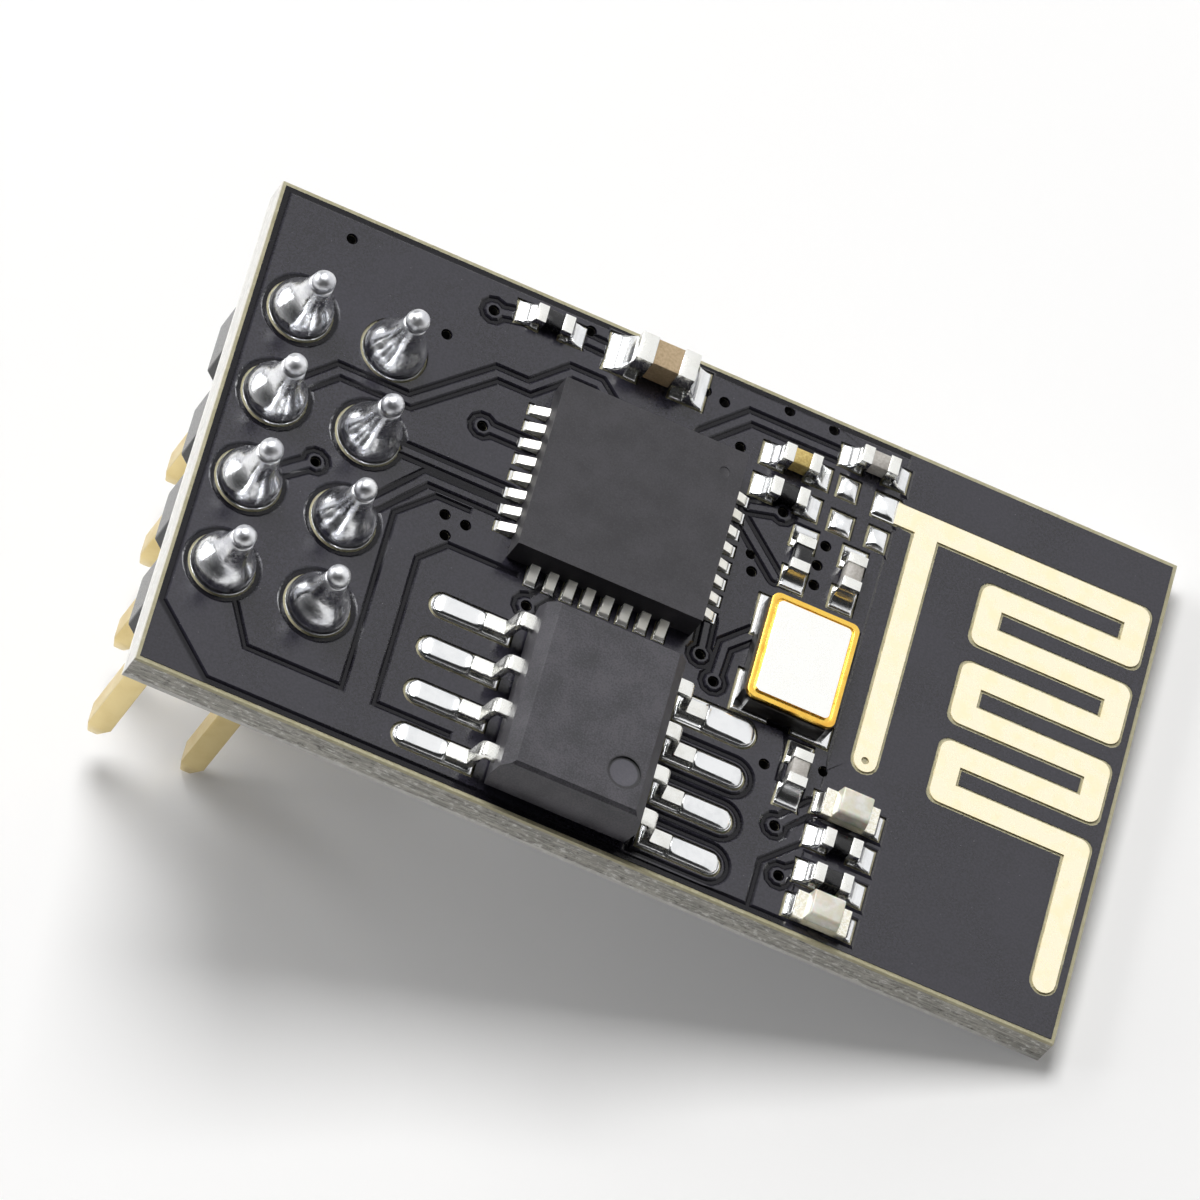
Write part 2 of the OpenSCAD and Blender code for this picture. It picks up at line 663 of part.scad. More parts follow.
module crystal_rim() at_rest() color("#e0a63a") on_board(crystal_at)
    translate([0, 0, seat_z + crystal_base_h]) difference() {
        linear_extrude(crystal_rim_h)
            polygon(cut_corners([crystal_w, crystal_l] - 2 * crystal_inset * [1, 1], crystal_corner));
        translate([0, 0, crystal_rim_h - crystal_step]) linear_extrude(cut)
            polygon(cut_corners([crystal_w, crystal_l] - 2 * crystal_rim_w * [1, 1], crystal_corner * 0.7));
    }

module crystal_lid() at_rest() color("#e9e6dc") on_board(crystal_at)
    translate([0, 0, seat_z + crystal_base_h + crystal_rim_h - crystal_step])
        linear_extrude(crystal_lid_t)
            polygon(cut_corners([crystal_w, crystal_l] - 2 * (crystal_rim_w + lid_inset) * [1, 1],
                                crystal_corner * 0.6));

// ---- capacitors, resistors and lamps ----

function cap_h(p) = p[2] ? bulk_h : chip_cap_h;
cap_wet_share = 0.72;                        // share of an end's height that the solder climbs

// The ceramic of a part, inside its end caps
module part_core(p, h) translate([0, 0, seat_z + end_cap_t])
    translate([end_cap_t - part_l(p) / 2, end_cap_t - part_w(p) / 2, 0])
        cube([part_l(p) - 2 * end_cap_t, part_w(p) - 2 * end_cap_t, h - 2 * end_cap_t]);

module end_caps(p, h) difference() {
    l = part_l(p);
    w = part_w(p);
    band_l = l * end_cap_share;
    for (s = [0, 1]) mirror([s, 0, 0]) translate([l / 2 - band_l, -w / 2, seat_z]) cube([band_l, w, h]);
    part_core(p, h);
}

module capacitor(i) at_rest() color("#b9a078") on_board(CAPACITORS[i][0], CAPACITORS[i][1])
    part_core(CAPACITORS[i], cap_h(CAPACITORS[i]));

module resistor(i) at_rest() color("#2a292d") on_board(RESISTORS[i][0], RESISTORS[i][1])
    part_core(RESISTORS[i], chip_res_h);

module capacitor_end_caps() at_rest() color("#d9d7d0")
    for (p = CAPACITORS) on_board(p[0], p[1]) end_caps(p, cap_h(p));

module resistor_end_caps() at_rest() color("#d9d7d0")
    for (p = RESISTORS) on_board(p[0], p[1]) end_caps(p, chip_res_h);

// A lamp: a plated base with a clear block of resin on its middle
lamp_l = 1.45;
lamp_w = 0.75;
lens_share = 0.64;
lens_cut = 0.06;

module lamp_base(i) at_rest() color("#d8cfa6") on_board(LAMPS[i][0], LAMPS[i][1])
    translate([-lamp_l / 2, -lamp_w / 2, seat_z]) cube([lamp_l, lamp_w, lamp_base_h]);

module lamp_lens(i) at_rest() color("#f3f0dc") on_board(LAMPS[i][0], LAMPS[i][1])
    translate([0, 0, seat_z + lamp_base_h]) {
        x = lamp_l * lens_share / 2;
        y = lamp_w / 2;
        h = lamp_lens_h;
        crossed([[-x, 0], [x, 0], [x - lens_cut, h], [lens_cut - x, h]],
                [[-y, 0], [y, 0], [y, h - lens_cut], [y - lens_cut, h], [lens_cut - y, h],
                 [-y, h - lens_cut]], lamp_l);
    }

// Solder at one end of a part: a film on the pad, and a hollow fillet that narrows up the end
FILLET_SLOPE = [[1, 0], [0.8, 0.05], [0.55, 0.16], [0.33, 0.36], [0.14, 0.66], [0, 1]];

module end_solder(p, l, w, rise) translate([0, 0, pad_top]) {
    pad = part_pad(p);
    x0 = part_pad_x(p) - pad.x / 2;
    x1 = part_pad_x(p) + pad.x / 2;
    run = x1 - l / 2;
    y0 = pad.y / 2;
    y1 = min(w, pad.y) / 2;
    crossed(
        concat([[x0, 0], [x1, 0]],
               [for (s = FILLET_SLOPE) [l / 2 + s[0] * run, solder_t + s[1] * rise]],
               [[l / 2, solder_t], [x0, solder_t]]),
        [[-y0, 0], [y0, 0], [y0, solder_t], [y1, solder_t + rise], [-y1, solder_t + rise], [-y0, solder_t]],
        l + pad.x
    );
}

module small_part_solder() at_rest() color("#d4d5d6") {
    for (p = CAPACITORS, s = [0, 180])
        on_board(p[0], p[1] + s) end_solder(p, part_l(p), part_w(p), cap_h(p) * cap_wet_share);
    for (p = RESISTORS, s = [0, 180])
        on_board(p[0], p[1] + s) end_solder(p, part_l(p), part_w(p), chip_res_h * cap_wet_share);
    for (p = LAMPS, s = [0, 180])
        on_board(p[0], p[1] + s) end_solder(p, lamp_l, lamp_w, lamp_base_h * cap_wet_share);
    for (sx = [-1, 1], sy = [-1, 1])
        on_board(crystal_at + [sx * crystal_pad_pitch.x / 2, sy * crystal_pad_pitch.y / 2])
            translate([-crystal_pad.x / 2, -crystal_pad.y / 2, pad_top])
                cube([crystal_pad.x, crystal_pad.y, solder_t]);
}

circuit_board();
solder_mask_top();
solder_mask_bottom();
antenna_track();
solder_pads();
header_insulator();
radio_chip_body();
radio_chip_terminals();
radio_chip_solder();
flash_chip_body();
flash_chip_solder();
crystal_base();
crystal_rim();
crystal_lid();
capacitor_end_caps();
resistor_end_caps();
small_part_solder();
lamp_base(0);  // power_lamp_base
lamp_lens(0);  // power_lamp_lens
lamp_base(1);  // signal_lamp_base
lamp_lens(1);  // signal_lamp_lens
for (i = [0:7]) header_pin(i);
for (i = [0:7]) pin_solder(i);
for (i = [0:7]) flash_lead(i);
for (i = [0:4]) capacitor(i);
for (i = [0:4]) resistor(i);
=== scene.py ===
"""Looks of the Wi-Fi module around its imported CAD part.

Numbers are millimetres in the board's own axes unless a comment says otherwise: x runs from the
header end to the antenna end, y across the board, and z up from its underside.
"""

import json
import math
import random

import bmesh
import bpy
from mathutils import Matrix, Vector

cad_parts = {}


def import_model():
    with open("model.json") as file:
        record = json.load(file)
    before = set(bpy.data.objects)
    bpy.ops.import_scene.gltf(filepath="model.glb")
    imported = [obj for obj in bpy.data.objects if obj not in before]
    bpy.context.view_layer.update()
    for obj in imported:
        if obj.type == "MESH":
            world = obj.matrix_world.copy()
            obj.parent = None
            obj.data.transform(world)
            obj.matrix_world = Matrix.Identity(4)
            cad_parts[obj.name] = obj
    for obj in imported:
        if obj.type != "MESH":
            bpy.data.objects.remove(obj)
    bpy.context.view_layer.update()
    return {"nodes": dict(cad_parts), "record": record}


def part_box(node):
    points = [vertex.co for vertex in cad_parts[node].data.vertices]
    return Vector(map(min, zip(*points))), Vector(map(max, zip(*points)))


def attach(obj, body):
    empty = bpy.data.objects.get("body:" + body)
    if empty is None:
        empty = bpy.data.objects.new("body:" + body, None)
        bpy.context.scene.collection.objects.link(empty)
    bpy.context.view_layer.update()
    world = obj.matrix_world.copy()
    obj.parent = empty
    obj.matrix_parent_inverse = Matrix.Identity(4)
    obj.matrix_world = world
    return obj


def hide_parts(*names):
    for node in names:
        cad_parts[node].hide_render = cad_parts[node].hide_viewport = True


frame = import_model()
NODES = frame["nodes"]
SLOT_OF = {part["node"]: part["material_slot"] for part in frame["record"]["subparts"]}
MM = 0.001

# ---------------------------------------------------------------- the board's own axes
BOARD_L = 24.7
BOARD_W = 14.3
BOARD_T = 1.0
MASK_T = 0.02
COPPER_T = 0.05
COPPER_TOP = BOARD_T + COPPER_T
MASK_LOW = BOARD_T + MASK_T          # top of the solder mask where no copper lies under it
MASK_HIGH = MASK_LOW + COPPER_T      # and where copper does
POUR_END = 17.3                      # x where the copper pour ends and the antenna's field begins
CORNER_LINE = -5.2                   # x + y just outside the cut corner of the pour
LEAN = math.radians(22.364)

# the antenna end's lower edge rests on the table
BOARD_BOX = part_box("circuit_board")
EDGE_X = BOARD_BOX[1].x / MM - BOARD_T * math.sin(LEAN)
TO_ROW = (Matrix.Translation((EDGE_X, 0, 0)) @ Matrix.Rotation(LEAN, 4, "Y")
          @ Matrix.Translation((-BOARD_L, 0, 0)))
TO_BOARD = TO_ROW.inverted()
# where the board's origin lies once the row frame is only turned, not moved
TURNED_ORIGIN = Matrix.Rotation(-LEAN, 4, "Y") @ (TO_ROW @ Vector((0, 0, 0)))


def row(x, y, z):
    """A board point in millimetres, as a row frame point in metres."""
    return (TO_ROW @ Vector((x, y, z))) * MM


# ---------------------------------------------------------------- materials
# spans of a noise texture: nearly all of its values lie in the first, most in the second
WIDE = (0.3, 0.7)
MIDDLE = (0.35, 0.65)

DIMPLE = (12.03, -5.77)              # the round mark on the flash chip
DIMPLE_R = 0.42
LAMP_X = 18.11
LAMP_PLAIN_HALF = 0.46               # half of a lamp base's length between its plated ends

LOOKS = {}                           # every finished material of the module, by its name


class Maker:
    """A material's node tree, with a short call for each kind of node.

    Textures lie in board millimetres, so that a grain has one real size on every piece. That
    space is the row frame turned to lie along the board, and its origin is TURNED_ORIGIN away
    from the board's: at_x and at_z give a board place in it.
    """

    def __init__(self, name):
        self.name = name
        self.material = bpy.data.materials.new(name)
        self.material.use_nodes = True
        self.tree = self.material.node_tree
        self.tree.nodes.clear()
        self.out = self.tree.nodes.new("ShaderNodeOutputMaterial")
        coords = self.tree.nodes.new("ShaderNodeTexCoord")
        turned = self.tree.nodes.new("ShaderNodeMapping")
        turned.vector_type = "POINT"
        turned.inputs["Rotation"].default_value = (0, -LEAN, 0)
        turned.inputs["Scale"].default_value = (1 / MM, 1 / MM, 1 / MM)
        self.tree.links.new(coords.outputs["Object"], turned.inputs["Vector"])
        self.place = turned.outputs[0]
        axes = self.node("ShaderNodeSeparateXYZ", {0: self.place})
        self.x, self.y, self.z = axes.outputs[:]

    def node(self, kind, values=None, **settings):
        made = self.tree.nodes.new(kind)
        for key, value in settings.items():
            setattr(made, key, value)
        for key, value in (values or {}).items():
            self.set(made.inputs[key], value)
        return made

    def set(self, socket, value):
        if isinstance(value, bpy.types.NodeSocket):
            self.tree.links.new(value, socket)
        else:
            socket.default_value = value

    @staticmethod
    def at_x(x):
        return x + TURNED_ORIGIN.x

    @staticmethod
    def at_z(z):
        return z + TURNED_ORIGIN.z

    def noise(self, scale, detail=3.0, roughness=0.55, place=None):
        values = {"Scale": scale, "Detail": detail, "Roughness": roughness,
                  "Vector": place or self.place}
        return self.node("ShaderNodeTexNoise", values).outputs["Fac"]

    def spots(self, scale, size):
        """One round spot in each cell, 1 in its middle and 0 from size on."""
        cells = self.node("ShaderNodeTexVoronoi", {"Scale": scale, "Vector": self.place})
        return self.ramp(cells.outputs["Distance"], (0.0, size), (1.0, 0.0))

    def ramp(self, value, source, target=(0.0, 1.0)):
        """A smooth step from target[0] to target[1] while the value runs over the source span."""
        values = {"Value": value, "From Min": source[0], "From Max": source[1],
                  "To Min": target[0], "To Max": target[1]}
        return self.node("ShaderNodeMapRange", values, interpolation_type="SMOOTHSTEP").outputs[0]

    def math(self, kind, a, b=0.0):
        return self.node("ShaderNodeMath", {0: a, 1: b}, operation=kind).outputs[0]

    def plus(self, a, b):
        return self.math("ADD", a, b)

    def minus(self, a, b):
        return self.math("SUBTRACT", a, b)

    def times(self, a, b):
        return self.math("MULTIPLY", a, b)

    def over(self, a, b):
        return self.math("GREATER_THAN", a, b)

    def under(self, a, b):
        return self.math("LESS_THAN", a, b)

    def off(self, a, b):
        """How far a lies from b, either way."""
        return self.math("ABSOLUTE", self.minus(a, b))

    def blend(self, a, share_a, b, share_b):
        """The sum of two values, each at its own share."""
        return self.plus(self.times(a, share_a), self.times(b, share_b))

    def vector(self, kind, a, b=(0, 0, 0)):
        return self.node("ShaderNodeVectorMath", {0: a, 1: b}, operation=kind)

    def mix(self, factor, a, b):
        """Colour a where the factor is 0, and colour b where it is 1."""
        return self.node("ShaderNodeMix", {0: factor, 6: a, 7: b}, data_type="RGBA").outputs[2]

    def bump(self, height, strength, depth):
        values = {"Height": height, "Strength": strength, "Distance": depth * MM}
        return self.node("ShaderNodeBump", values).outputs[0]

    def finish(self, **inputs):
        """Ends the tree in a Principled shader with these inputs, and files the material."""
        shader = self.node("ShaderNodeBsdfPrincipled")
        for key, value in inputs.items():
            self.set(shader.inputs[key.replace("_", " ")], value)
        self.set(self.out.inputs[0], shader.outputs[0])
        LOOKS[self.name] = self.material


def rgb(red, green, blue):
    """sRGB 0-255 to a linear colour."""
    def linear(c):
        c /= 255
        return c / 12.92 if c <= 0.04045 else ((c + 0.055) / 1.055) ** 2.4
    return (linear(red), linear(green), linear(blue), 1.0)


def solder_mask():
    """A black film with soft clouds, fine grain and a few specks of dust."""
    m = Maker("solder_mask")
    grain = m.noise(38, 2)
    mottle = m.ramp(m.noise(17, 3, 0.7), (0.36, 0.64))
    dust = m.times(m.spots(5.5, 0.11), m.ramp(m.noise(7.0, 1), (0.53, 0.60)))
    tone = m.mix(m.ramp(m.noise(0.35, 3), MIDDLE), rgb(29, 28, 35), rgb(42, 41, 50))
    tone = m.mix(m.times(mottle, 0.85), tone, rgb(53, 51, 62))
    tone = m.mix(m.times(dust, 0.5), tone, rgb(124, 120, 130))
    # with no copper under it the film lies low, in narrow grooves; their darker tone is partly the
    # film's own over bare laminate and partly painted shade, and they shine less
    low = m.ramp(m.z, (m.at_z(MASK_HIGH - 0.004), m.at_z(MASK_LOW + 0.008)))
    on_top = m.over(m.z, m.at_z(BOARD_T / 2))
    over_pour = m.under(m.x, m.at_x(POUR_END))
    groove = m.times(low, m.times(on_top, over_pour))
    # the pour's cut corner leaves a wide low field, which is no groove
    corner = (m.at_x(CORNER_LINE - 0.15), m.at_x(CORNER_LINE))
    groove = m.times(groove, m.ramp(m.plus(m.x, m.y), corner, (0.25, 1.0)))
    # painted shade in the grooves, on top of the film's own darker tone over bare laminate
    tone = m.mix(m.times(groove, 0.8), tone, rgb(14, 13, 17))
    shine = m.ramp(groove, (0.0, 1.0), (0.5, 0.22))
    rough = m.plus(m.ramp(grain, WIDE, (0.13, 0.20)), m.times(dust, 0.2))
    ripple = m.minus(m.blend(m.noise(4.5, 3), 0.55, grain, 0.30), m.times(dust, 0.5))
    m.finish(Base_Color=tone, Roughness=rough, Normal=m.bump(ripple, 0.35, 0.02), IOR=1.6,
             Specular_IOR_Level=shine)


def laminate():
    """Glass and resin: layers and fibres on the cut edges, painted shade on the walls of the
    holes, and a painted highlight along the foot of the edges.
    """
    m = Maker("laminate")
    strata = m.noise(1.0, 4, place=m.vector("MULTIPLY", m.place, (1.6, 1.6, 16)).outputs[0])
    fibre = m.noise(1.0, 5, 0.7, m.vector("MULTIPLY", m.place, (5, 5, 9)).outputs[0])
    tone = m.mix(m.ramp(strata, WIDE), rgb(150, 147, 140), rgb(204, 201, 192))
    tone = m.mix(m.ramp(fibre, (0.52, 0.66)), tone, rgb(234, 233, 228))
    tone = m.mix(m.ramp(fibre, (0.44, 0.32)), tone, rgb(116, 113, 107))
    # the walls away from the board's four edges are those of its holes; their dark tone is painted
    # shade
    inner_y = m.under(m.math("ABSOLUTE", m.y), BOARD_W / 2 - 0.05)
    inner_x = m.under(m.off(m.x, m.at_x(BOARD_L / 2)), BOARD_L / 2 - 0.05)
    wall = m.times(m.times(inner_y, inner_x), m.under(m.z, m.at_z(BOARD_T - 0.01)))
    tone = m.mix(wall, tone, rgb(24, 20, 17))
    # on the edges, a resin line shows at the top, and a painted highlight runs along the foot
    edge = m.minus(1.0, wall)
    resin_line = m.times(m.over(m.z, m.at_z(BOARD_T - 0.12)), edge)
    tone = m.mix(m.times(resin_line, 0.75), tone, rgb(196, 188, 146))
    # a painted highlight: a pale band along the foot of each edge
    foot_highlight = m.times(m.under(m.z, m.at_z(0.14)), edge)
    tone = m.mix(m.times(foot_highlight, 0.6), tone, rgb(240, 239, 235))
    # the header end is whiter than the other edges
    header_end = m.under(m.x, m.at_x(0.02))
    tone = m.mix(m.times(header_end, 0.62), tone, rgb(250, 249, 246))
    m.finish(Base_Color=tone, Roughness=0.7, Normal=m.bump(m.plus(fibre, strata), 0.5, 0.05))


def metal(name, colour, worn, rough, tint=0.5, bump=0.12, scale=6.0):
    """Metal with clouds of a second tone; rough is the span of its roughness."""
    m = Maker(name)
    cloud = m.noise(scale * 0.35, 3)
    grain = m.noise(scale * 5, 2)
    tone = m.mix(m.times(m.ramp(cloud, (0.4, 0.7)), tint), colour, worn)
    m.finish(Base_Color=tone, Roughness=m.ramp(m.blend(cloud, 0.6, grain, 0.4), MIDDLE, rough),
             Normal=m.bump(m.blend(cloud, 1.0, grain, 0.18), bump, 0.03), Metallic=1.0)


def plastic(name, dark, light, rough, grain_scale, bump=0.3, fleck=None, mark=None):
    """A moulded or fired surface; fleck is a colour and a scale, and mark adds to its tone."""
    m = Maker(name)
    cloud = m.noise(1.2, 3)
    grain = m.noise(grain_scale, 3, 0.6)
    tone = m.mix(m.ramp(m.blend(cloud, 0.4, grain, 0.6), MIDDLE), dark, light)
    if fleck:
        tone = m.mix(m.times(m.spots(fleck[1], 0.22), 0.35), tone, fleck[0])
    if mark:
        tone = mark(m, tone)
    m.finish(Base_Color=tone, Roughness=m.ramp(grain, WIDE, rough),
             Normal=m.bump(m.plus(grain, m.times(cloud, 0.3)), bump, 0.01))


def dimple(m, tone):
    """The dimple that marks the flash chip's first lead, with a painted sheen inside it and
    painted shade along its rim.
    """
    from_middle = m.vector("SUBTRACT", m.place, (m.at_x(DIMPLE[0]), DIMPLE[1], 0)).outputs[0]
    flat = m.vector("MULTIPLY", from_middle, (1, 1, 0)).outputs[0]
    away = m.vector("LENGTH", flat).outputs["Value"]
    on_top = m.over(m.z, m.at_z(BOARD_T + 1.5))
    inside = m.times(m.ramp(away, (DIMPLE_R - 0.04, DIMPLE_R - 0.09)), on_top)
    rim_shade = m.times(m.ramp(m.off(away, DIMPLE_R - 0.01), (0.02, 0.07), (1.0, 0.0)), on_top)
    # painted sheen inside the dimple
    tone = m.mix(m.times(inside, 0.55), tone, rgb(104, 103, 112))
    # painted shade along the dimple's rim
    return m.mix(m.times(rim_shade, 0.75), tone, rgb(26, 25, 28))


def lamp_base():
    """A pale lamp base whose two ends are plated."""
    m = Maker("lamp_base")
    cloud = m.noise(3.0, 3)
    grain = m.noise(14, 2)
    ends = m.over(m.off(m.x, m.at_x(LAMP_X)), LAMP_PLAIN_HALF)
    pale = m.mix(m.ramp(cloud, MIDDLE), rgb(226, 218, 188), rgb(242, 236, 214))
    plate = m.mix(m.ramp(grain, (0.4, 0.6)), rgb(246, 244, 236), rgb(226, 221, 202))
    m.finish(Base_Color=m.mix(ends, pale, plate), Metallic=ends,
             Roughness=m.ramp(grain, WIDE, (0.26, 0.42)),
             Normal=m.bump(m.plus(cloud, grain), 0.3, 0.02))


def tail_solder():
    """Solder that is bright on the foot and duller on the nub, where it cooled last."""
    m = Maker("tail_solder")
    cloud = m.noise(2.0, 3)
    grain = m.noise(9, 3, 0.6)
    dull = m.ramp(m.z, (m.at_z(BOARD_T + 1.1), m.at_z(BOARD_T + 1.7)), (0.0, 0.20))
    tone = m.mix(m.ramp(cloud, (0.4, 0.65)), rgb(240, 241, 243), rgb(208, 209, 214))
    m.finish(Base_Color=tone, Roughness=m.plus(m.ramp(grain, MIDDLE, (0.15, 0.27)), dull),
             Normal=m.bump(m.blend(cloud, 1.6, grain, 0.5), 0.22, 0.03), Metallic=1.0)


def lamp_resin():
    """The milky resin of a lamp's lens."""
    m = Maker("lamp_resin")
    cloud = m.noise(3.0, 3)
    tone = m.mix(m.ramp(cloud, MIDDLE), rgb(240, 236, 214), rgb(252, 250, 240))
    m.finish(Base_Color=tone, Roughness=m.ramp(cloud, WIDE, (0.16, 0.3)),
             Normal=m.bump(m.noise(12, 2), 0.2, 0.02), Subsurface_Weight=0.25,
             Subsurface_Scale=0.3 * MM, Coat_Weight=0.4, Coat_Roughness=0.12)


laminate()
solder_mask()
metal("gold_plate", rgb(255, 246, 218), rgb(250, 232, 180), (0.24, 0.32), tint=0.4)
metal("pin_gold", rgb(228, 208, 152), rgb(212, 188, 126), (0.28, 0.40), 0.4, 0.05, 3)
metal("gold_rim", rgb(247, 205, 96), rgb(226, 150, 48), (0.22, 0.34))
plastic("header_plastic", rgb(22, 22, 23), rgb(34, 34, 36), (0.12, 0.22), 12)
plastic("chip_epoxy", rgb(38, 37, 41), rgb(62, 60, 65), (0.46, 0.6), 22, 0.5,
        (rgb(98, 96, 100), 9.9))
plastic("flash_epoxy", rgb(50, 49, 54), rgb(84, 82, 88), (0.42, 0.55), 22, 0.5,
        (rgb(114, 112, 116), 10), dimple)
tail_solder()
metal("terminal_solder", rgb(255, 254, 248), rgb(244, 240, 226), (0.48, 0.58), 0.5, 0.06, 3)
plastic("dark_ceramic", rgb(18, 16, 16), rgb(34, 31, 30), (0.3, 0.45), 10)
metal("lid_metal", rgb(252, 252, 249), rgb(244, 243, 238), (0.22, 0.30))
plastic("tan_ceramic", rgb(182, 156, 120), rgb(208, 184, 148), (0.4, 0.55), 14)
plastic("gold_ceramic", rgb(206, 176, 100), rgb(238, 216, 140), (0.35, 0.5), 14)
plastic("pale_ceramic", rgb(186, 180, 172), rgb(214, 210, 204), (0.35, 0.5), 14)
plastic("resistor_glaze", rgb(14, 14, 16), rgb(30, 30, 33), (0.18, 0.3), 10)
lamp_base()
lamp_resin()
metal("tinned_metal", rgb(238, 238, 234), rgb(214, 213, 206), (0.18, 0.32), scale=9)
metal("solder", rgb(238, 239, 240), rgb(214, 216, 218), (0.16, 0.26), 0.5, 0.2, 5)

# nodes whose look isn't that of their material slot
OWN_LOOK = {"radio_chip_solder": "terminal_solder", "radio_chip_body": "chip_epoxy",
            "flash_chip_body": "flash_epoxy", "capacitor_2": "gold_ceramic"}
OWN_LOOK.update({f"header_pin_{i}": "pin_gold" for i in range(1, 9)})


def look_of(node):
    return OWN_LOOK.get(node, SLOT_OF[node])


def dress(piece, look):
    piece.data.materials.clear()
    piece.data.materials.append(LOOKS[look])


for node in SLOT_OF:
    dress(NODES[node], look_of(node))


# ---------------------------------------------------------------- pieces that stand for CAD nodes
def stand_in(name, mesh, nodes, look):
    """A new piece that rides on the module and stands for CAD nodes."""
    piece = bpy.data.objects.new(name, mesh)
    bpy.context.scene.collection.objects.link(piece)
    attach(piece, "root")
    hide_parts(*nodes)
    dress(piece, look)
    return piece


def to_mesh(name, work):
    """The working mesh as a Blender mesh."""
    mesh = bpy.data.meshes.new(name)
    work.to_mesh(mesh)
    work.free()
    return mesh


# ---------------------------------------------------------------- the solder mask's sloped relief
SLOPE = 0.036                        # how far a copper step is drawn out, at its top and its foot
CUT_SLOPE = 0.02                     # the same where the film itself was cut
SLOPE_MOST = 1.6                     # a sharp corner moves this many times as far, at most
NEAR_LEVEL = 0.004                   # how near its level a corner of the film lies


def slope_move(vert):
    """The sideways move of one corner of the film that makes its step a slope, or None."""
    high = abs(vert.co.z - MASK_HIGH) < NEAR_LEVEL
    if not high and abs(vert.co.z - MASK_LOW) >= NEAR_LEVEL:
        return None
    # each upright face round the corner, with the height of its foot
    walls = [(f, min(v.co.z for v in f.verts)) for f in vert.link_faces if abs(f.normal.z) < 0.3]
    steps = [(f, foot) for f, foot in walls if foot > MASK_LOW - NEAR_LEVEL]
    if not high and not [foot for _, foot in steps if foot < MASK_LOW + NEAR_LEVEL]:
        return None
    facings = []
    for f, _ in steps or walls:
        flat = Vector((f.normal.x, f.normal.y, 0)).normalized()
        if not any((flat - facing).length < 0.02 for facing in facings):
            facings.append(flat)
    out = sum(facings, Vector((0, 0, 0)))
    if out.length < 0.2:
        return None
    out.normalize()
    reach = min(1.0 / max(out.dot(facing) for facing in facings), SLOPE_MOST)
    width = SLOPE if steps else CUT_SLOPE
    return out * reach * (-width if high else width)


def sloped_mask():
    """The mask with its copper steps drawn out into slopes, as a poured film has them."""
    work = bmesh.new()
    work.from_mesh(NODES["solder_mask_top"].data)
    bmesh.ops.remove_doubles(work, verts=work.verts, dist=0.002 * MM)
    for v in work.verts:
        v.co = TO_BOARD @ (v.co / MM)
    work.normal_update()
    moves = [(v, slope_move(v)) for v in work.verts]
    for v, move in moves:
        if move is not None:
            v.co += move
    for v in work.verts:
        v.co = (TO_ROW @ v.co) * MM
    for f in work.faces:
        f.smooth = False
    mesh = to_mesh("solder_mask_relief", work)
    stand_in("solder_mask_relief", mesh, ["solder_mask_top"], "solder_mask")


sloped_mask()

# ---------------------------------------------------------------- rounded and poured pieces
WELD = 0.0005                        # points nearer than this are one
FLAT_ANGLE = math.radians(1)         # faces that meet at less than this are one
ROUND_ANGLE = math.radians(25)       # edges sharper than this are rounded
CREASE_ANGLE = math.radians(50)      # edges still sharper than this afterwards stay creased


def turn_of(edge):
    """The angle between an edge's two faces, or 0 for an open edge."""
    return edge.calc_face_angle(0) if len(edge.link_faces) == 2 else 0


def softened(node, width, segments):
    """A CAD node with its hard edges rounded, as moulded, plated and soldered parts have them."""
    work = bmesh.new()
    work.from_mesh(NODES[node].data)
    bmesh.ops.remove_doubles(work, verts=work.verts, dist=WELD * MM)
    bmesh.ops.dissolve_limit(work, angle_limit=FLAT_ANGLE, verts=work.verts, edges=work.edges)
    bmesh.ops.bevel(work, geom=[e for e in work.edges if turn_of(e) > ROUND_ANGLE],
                    offset=width * MM, offset_type="OFFSET", segments=segments, profile=0.6,
                    affect="EDGES", clamp_overlap=True, miter_outer="ARC")
    bmesh.ops.remove_doubles(work, verts=work.verts, dist=WELD * MM)
    for f in work.faces:
        f.smooth = True
    for e in work.edges:
        e.smooth = turn_of(e) <= CREASE_ANGLE
    name = node + "_round"
    piece = stand_in(name, to_mesh(name, work), [node], look_of(node))
    weighted = piece.modifiers.new("weighted", "WEIGHTED_NORMAL")
    weighted.keep_sharp = True


def poured(node, grain, rounds):
    """A CAD node as metal that has flowed, with no edge left on it."""
    name = node + "_poured"
    mesh = NODES[node].data.copy()
    mesh.name = name
    piece = stand_in(name, mesh, [node], look_of(node))
    flow = piece.modifiers.new("flow", "REMESH")
    flow.mode = "VOXEL"
    flow.voxel_size = grain * MM
    flow.use_smooth_shade = True
    settle = piece.modifiers.new("settle", "SMOOTH")
    settle.factor = 0.5
    settle.iterations = rounds


poured("flash_chip_solder", 0.03, 22)
poured("small_part_solder", 0.025, 8)

# the width and the segments of each node's rounded edges
ROUNDED = {
    "radio_chip_solder": (0.05, 3),
    "capacitor_end_caps": (0.03, 2),
    "resistor_end_caps": (0.025, 2),
    "radio_chip_terminals": (0.02, 1),
    "radio_chip_body": (0.03, 2),
    "flash_chip_body": (0.045, 3),
    "header_insulator": (0.06, 2),
    "crystal_base": (0.03, 2),
    "crystal_rim": (0.03, 2),
    "crystal_lid": (0.025, 2),
    "power_lamp_base": (0.02, 2),
    "signal_lamp_base": (0.02, 2),
    "power_lamp_lens": (0.035, 3),
    "signal_lamp_lens": (0.035, 3),
}
ROUNDED.update({f"flash_lead_{i}": (0.045, 2) for i in range(1, 9)})
ROUNDED.update({f"header_pin_{i}": (0.05, 2) for i in range(1, 9)})
ROUNDED.update({f"capacitor_{i}": (0.02, 1) for i in range(1, 6)})
ROUNDED.update({f"resistor_{i}": (0.02, 1) for i in range(1, 6)})
for node, (width, segments) in ROUNDED.items():
    softened(node, width, segments)

